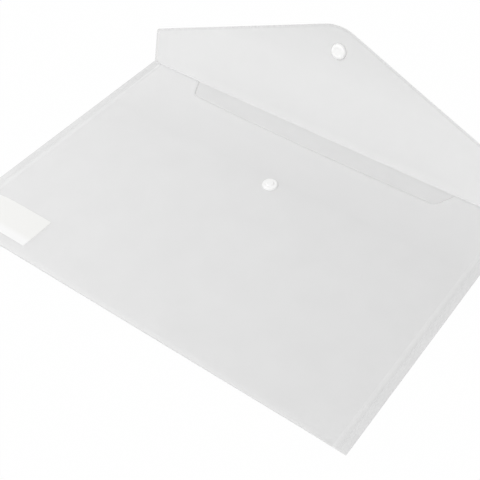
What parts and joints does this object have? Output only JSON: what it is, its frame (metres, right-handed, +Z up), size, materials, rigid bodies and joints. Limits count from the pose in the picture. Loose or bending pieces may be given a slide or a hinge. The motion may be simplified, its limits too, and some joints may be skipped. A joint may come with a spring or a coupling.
{
  "type": "document wallet",
  "caption": "Translucent plastic document wallet with a folded bottom, welded sides, a thumb notch at the mouth and a pointed flap on a crease that closes with a press stud.",
  "frame": {"origin": "on the table, under the middle of the pocket, on the outside of the back panel", "axes": "+X across the wallet to the right of its front, +Y from the bottom fold to the flap crease, +Z up out of the front panel"},
  "size_m": [0.33, 0.2464, 0.088],
  "materials": {
    "sheet": "translucent, softly frosted polypropylene sheet",
    "stud_plastic": "smooth moulded white plastic",
    "label_film": "matt white film, blank"
  },
  "bodies": {
    "pocket": {"back_panel": "sheet", "bottom_fold": "sheet", "front_panel": "sheet", "left_side_seam": "sheet", "right_side_seam": "sheet", "flap_crease": "sheet", "front_stud": "stud_plastic", "stud_cap": "stud_plastic", "label": "label_film"},
    "flap": {"flap_panel": "sheet", "flap_socket": "stud_plastic", "flap_cap": "stud_plastic"}
  },
  "joints": [
    {"name": "flap_hinge", "type": "hinge", "parent": "pocket", "child": "flap", "pos_m": [0, 0.11225, 0.00175], "axis": [1, 0, 0], "range_deg": [-77, 98.5], "deforming": ["flap_crease"]}
  ]
}
